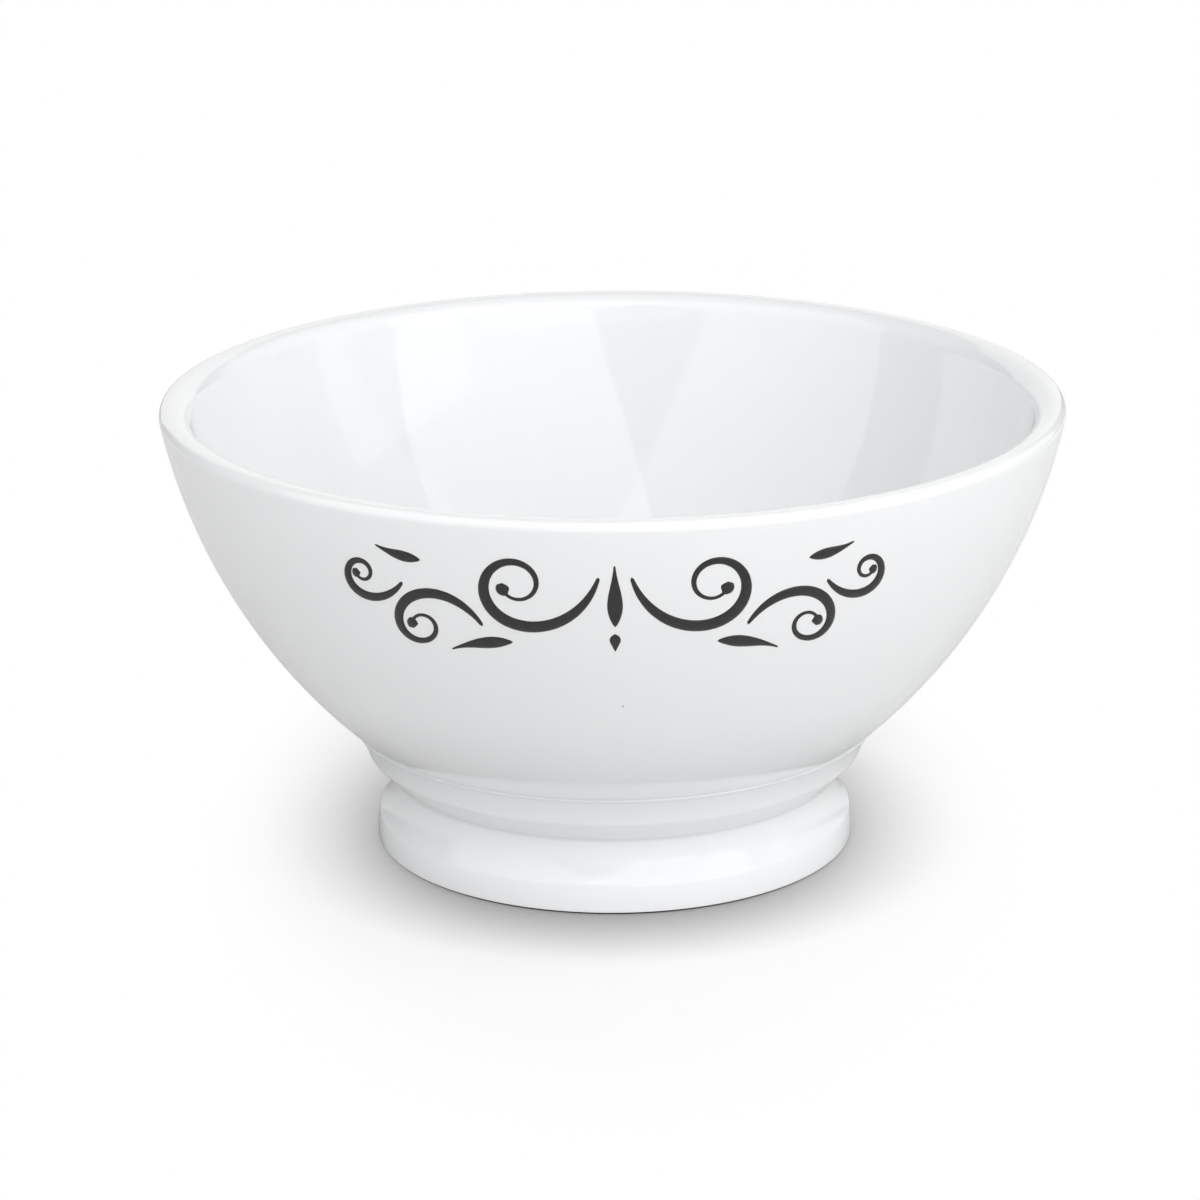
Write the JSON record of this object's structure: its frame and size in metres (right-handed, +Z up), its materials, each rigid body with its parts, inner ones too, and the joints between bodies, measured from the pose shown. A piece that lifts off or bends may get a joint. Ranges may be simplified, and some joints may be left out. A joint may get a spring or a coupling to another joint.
{
  "type": "latte bowl",
  "caption": "Footed latte bowl of white glazed porcelain: a deep round bowl with a rounded lip on a moulded hollow foot, with a black painted scroll on the front.",
  "frame": {"origin": "centre of the standing rim's circle, on the surface that the bowl stands on", "axes": "+Z up along the bowl's axis, -Y towards the painted front, +X to the right of someone looking at the front"},
  "size_m": [0.14, 0.14, 0.0715],
  "materials": {
    "porcelain": "unglazed biscuit, fine and matt",
    "slip": "fired liquid clay, matt",
    "glaze": "white, high gloss",
    "enamel": "black on-glaze enamel, gloss"
  },
  "bodies": {
    "root": {"bowl_body": "porcelain", "foot_ring": "porcelain", "slip_joint": "slip", "glaze_inside": "glaze", "glaze_outside": "glaze", "glaze_underside": "glaze", "bud": "enamel", "drop": "enamel", "first_curl_right": "enamel", "second_curl_right": "enamel", "third_curl_right": "enamel", "lower_leaf_right": "enamel", "upper_leaf_right": "enamel", "first_curl_left": "enamel", "second_curl_left": "enamel", "third_curl_left": "enamel", "lower_leaf_left": "enamel", "upper_leaf_left": "enamel"}
  },
  "joints": []
}
